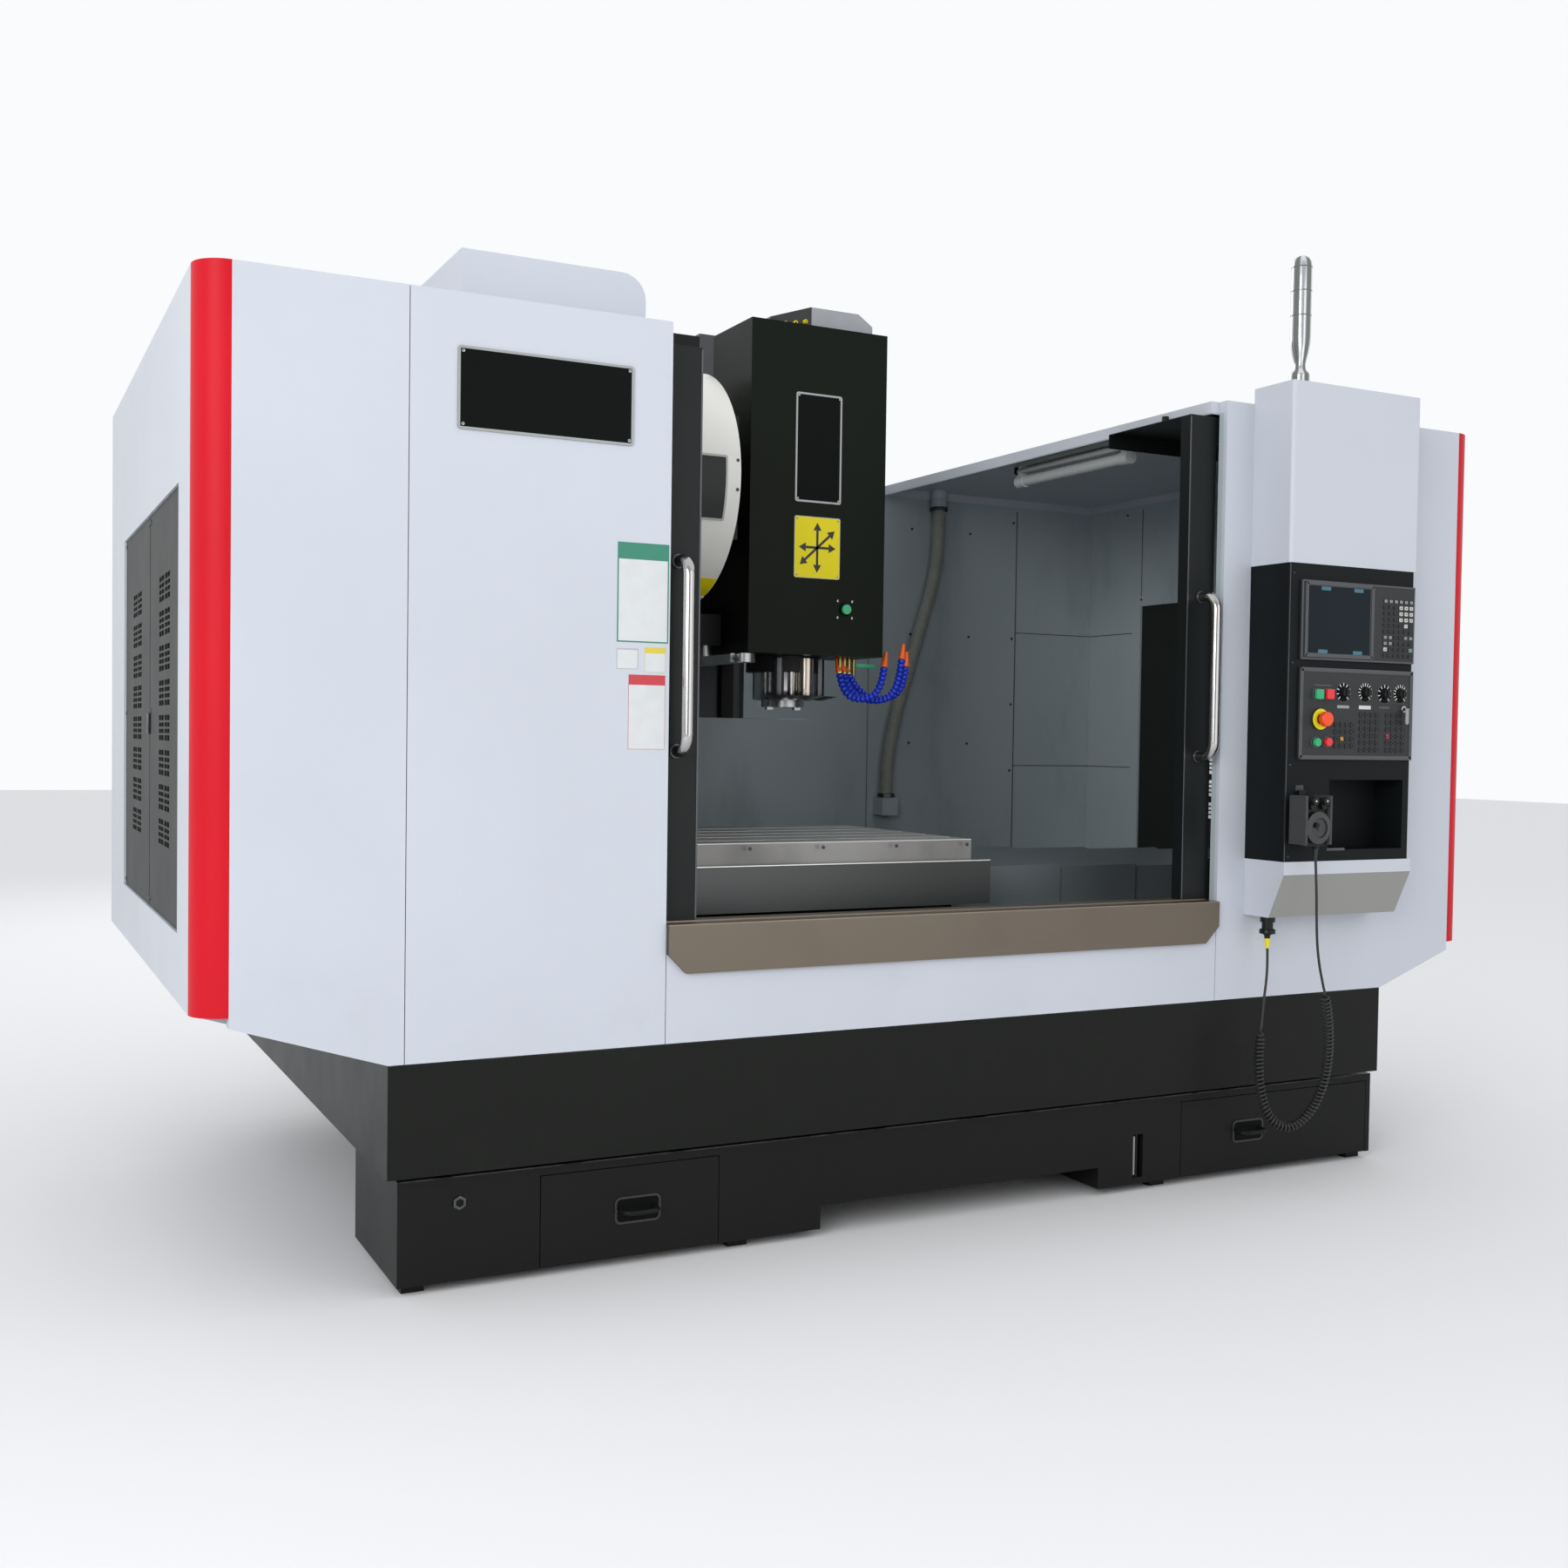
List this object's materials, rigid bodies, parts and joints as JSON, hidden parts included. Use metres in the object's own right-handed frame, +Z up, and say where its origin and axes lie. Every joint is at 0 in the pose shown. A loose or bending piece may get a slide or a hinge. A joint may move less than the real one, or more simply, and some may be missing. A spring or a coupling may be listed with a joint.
{
  "type": "cnc machining center",
  "caption": "Vertical machining center with a moving table under telescopic covers, sliding window doors, tool magazine with change arm, and a side console with a handwheel pendant on a cord.",
  "frame": {"origin": "on the floor, under the middle of the machine's bounding box without its cords", "axes": "+X to the right along the front, +Y from the door side to the column side, +Z up"},
  "size_m": [3.6, 2.957, 2.59],
  "materials": {
    "enclosure_white": "satin",
    "strip_red": "gloss",
    "sill_steel": "brushed",
    "tank_black": "satin",
    "cast_dark": "painted",
    "cast_grey": "painted",
    "ground_steel": "ground",
    "cover_steel": "brushed",
    "door_black": "satin",
    "door_glass": "clear",
    "handle_grey": "satin",
    "console_black": "textured",
    "panel_grey": "matte",
    "knob_black": "matte",
    "button_red": "gloss",
    "button_green": "gloss",
    "drum_white": "gloss",
    "head_grey": "textured",
    "brass_pipe": "plain",
    "lens_clear": "gloss",
    "cord_black": "matte",
    "lamp_white": "gloss"
  },
  "bodies": {
    "machine": {"base_casting": "cast_dark", "column": "cast_grey", "axis_drives": "ground_steel", "front_panels": "enclosure_white", "sill_plate": "sill_steel", "corner_strips": "strip_red", "enclosure_walls": "enclosure_white", "side_louvres": "enclosure_white", "roof_panels": "enclosure_white", "chip_tray": "tank_black", "coolant_tank": "tank_black", "operator_box": "enclosure_white", "console_housing": "console_black", "control_panels": "panel_grey", "signal_tower": "lens_clear", "work_lamp": "lamp_white", "conduit": "cord_black", "electrical_cabinet": "enclosure_white", "magazine_cover": "drum_white", "magazine_frame": "cast_grey", "pendant_body": "panel_grey", "pendant_plug": "knob_black", "pendant_lead": "cord_black", "curly_cord": "cord_black", "plug_lead": "cord_black"},
    "saddle_unit": {"saddle": "cast_grey", "saddle_covers": "cover_steel"},
    "table_unit": {"table": "ground_steel", "x_cover_1": "cover_steel"},
    "x_cover_2": {"x_cover_2": "cover_steel"},
    "x_cover_3": {"x_cover_3": "cover_steel"},
    "x_cover_4": {"x_cover_4": "cover_steel"},
    "y_cover_2": {"y_cover_2": "cover_steel"},
    "y_cover_3": {"y_cover_3": "cover_steel"},
    "head_unit": {"head_casting": "cast_grey", "head_cover": "head_grey", "spindle_motor": "head_grey", "coolant_nozzles": "brass_pipe"},
    "spindle": {"spindle": "ground_steel"},
    "tool_release_button": {"tool_release_button": "button_green"},
    "magazine_disc": {"magazine_disc": "ground_steel"},
    "change_arm": {"change_arm": "ground_steel"},
    "door_left": {"door_left": "door_black", "door_left_glass": "door_glass", "door_left_handle": "handle_grey"},
    "door_right": {"door_right": "door_black", "door_right_glass": "door_glass", "door_right_handle": "handle_grey"},
    "drawer_left": {"drawer_left": "tank_black"},
    "drawer_right": {"drawer_right": "tank_black"},
    "handwheel_dial": {"handwheel_dial": "knob_black"},
    "e_stop_button": {"e_stop_button": "button_red"},
    "cycle_start_button": {"cycle_start_button": "button_green"},
    "feed_hold_button": {"feed_hold_button": "button_red"},
    "power_on_button": {"power_on_button": "button_green"},
    "power_off_button": {"power_off_button": "button_red"},
    "mode_knob": {"mode_knob": "knob_black"},
    "feed_knob": {"feed_knob": "knob_black"},
    "rapid_knob": {"rapid_knob": "knob_black"},
    "spindle_knob": {"spindle_knob": "knob_black"}
  },
  "joints": [
    {"name": "y_axis", "type": "slide", "parent": "machine", "child": "saddle_unit", "axis": [0, 1, 0], "range_m": [-0.033, 0.667]},
    {"name": "x_axis", "type": "slide", "parent": "saddle_unit", "child": "table_unit", "axis": [1, 0, 0], "range_m": [-0.191, 1.109]},
    {"name": "x_cover_2_slide", "type": "slide", "parent": "saddle_unit", "child": "x_cover_2", "axis": [1, 0, 0], "range_m": [-0.1433, 0.8318]},
    {"name": "x_cover_3_slide", "type": "slide", "parent": "saddle_unit", "child": "x_cover_3", "axis": [1, 0, 0], "range_m": [-0.0956, 0.5546]},
    {"name": "x_cover_4_slide", "type": "slide", "parent": "saddle_unit", "child": "x_cover_4", "axis": [1, 0, 0], "range_m": [-0.0478, 0.2773]},
    {"name": "y_cover_2_slide", "type": "slide", "parent": "machine", "child": "y_cover_2", "axis": [0, 1, 0], "range_m": [-0.0221, 0.4447]},
    {"name": "y_cover_3_slide", "type": "slide", "parent": "machine", "child": "y_cover_3", "axis": [0, 1, 0], "range_m": [-0.0111, 0.2224]},
    {"name": "z_axis", "type": "slide", "parent": "machine", "child": "head_unit", "axis": [0, 0, 1], "range_m": [-0.215, 0.485]},
    {"name": "spindle_turn", "type": "hinge", "parent": "head_unit", "child": "spindle", "pos_m": [0, -0.2665, 1.295], "axis": [0, 0, 1], "continuous": true},
    {"name": "tool_release_press", "type": "slide", "parent": "head_unit", "child": "tool_release_button", "axis": [0, 1, 0], "range_m": [0, 0.004], "stiffness_N_per_m": 400, "springref_m": -0.004},
    {"name": "magazine_turn", "type": "hinge", "parent": "machine", "child": "magazine_disc", "pos_m": [-0.47, -0.2595, 1.923], "axis": [1, 0, 0], "continuous": true},
    {"name": "change_arm_turn", "type": "hinge", "parent": "machine", "child": "change_arm", "pos_m": [-0.262, -0.2665, 1.424], "axis": [0, 0, 1], "range_deg": [0, 50]},
    {"name": "door_left_slide", "type": "slide", "parent": "machine", "child": "door_left", "axis": [1, 0, 0], "range_m": [0, 0.719]},
    {"name": "door_right_slide", "type": "slide", "parent": "machine", "child": "door_right", "axis": [-1, 0, 0], "range_m": [0, 0.719]},
    {"name": "drawer_left_slide", "type": "slide", "parent": "machine", "child": "drawer_left", "axis": [0, -1, 0], "range_m": [0, 0.34]},
    {"name": "drawer_right_slide", "type": "slide", "parent": "machine", "child": "drawer_right", "axis": [0, -1, 0], "range_m": [0, 0.12]},
    {"name": "handwheel_turn", "type": "hinge", "parent": "machine", "child": "handwheel_dial", "pos_m": [0.982, -1.4515, 0.985], "axis": [0, 1, 0], "continuous": true},
    {"name": "e_stop_press", "type": "slide", "parent": "machine", "child": "e_stop_button", "axis": [0, 1, 0], "range_m": [0, 0.005], "stiffness_N_per_m": 600, "springref_m": -0.004},
    {"name": "cycle_start_press", "type": "slide", "parent": "machine", "child": "cycle_start_button", "axis": [0, 1, 0], "range_m": [0, 0.003], "stiffness_N_per_m": 400, "springref_m": -0.003},
    {"name": "feed_hold_press", "type": "slide", "parent": "machine", "child": "feed_hold_button", "axis": [0, 1, 0], "range_m": [0, 0.003], "stiffness_N_per_m": 400, "springref_m": -0.003},
    {"name": "power_on_press", "type": "slide", "parent": "machine", "child": "power_on_button", "axis": [0, 1, 0], "range_m": [0, 0.003], "stiffness_N_per_m": 400, "springref_m": -0.003},
    {"name": "power_off_press", "type": "slide", "parent": "machine", "child": "power_off_button", "axis": [0, 1, 0], "range_m": [0, 0.003], "stiffness_N_per_m": 400, "springref_m": -0.003},
    {"name": "mode_knob_turn", "type": "hinge", "parent": "machine", "child": "mode_knob", "pos_m": [1.128, -1.3965, 1.347], "axis": [0, 1, 0], "range_deg": [-135, 135]},
    {"name": "feed_knob_turn", "type": "hinge", "parent": "machine", "child": "feed_knob", "pos_m": [1.209, -1.3965, 1.349], "axis": [0, 1, 0], "range_deg": [-135, 135]},
    {"name": "rapid_knob_turn", "type": "hinge", "parent": "machine", "child": "rapid_knob", "pos_m": [1.282, -1.3965, 1.346], "axis": [0, 1, 0], "range_deg": [-135, 135]},
    {"name": "spindle_knob_turn", "type": "hinge", "parent": "machine", "child": "spindle_knob", "pos_m": [1.342, -1.3965, 1.348], "axis": [0, 1, 0], "range_deg": [-135, 135]}
  ],
  "couplings": [
    {"joint": "x_cover_2_slide", "follows": "x_axis", "ratio": 0.75},
    {"joint": "x_cover_3_slide", "follows": "x_axis", "ratio": 0.5},
    {"joint": "x_cover_4_slide", "follows": "x_axis", "ratio": 0.25},
    {"joint": "y_cover_2_slide", "follows": "y_axis", "ratio": 0.66667},
    {"joint": "y_cover_3_slide", "follows": "y_axis", "ratio": 0.33333}
  ]
}
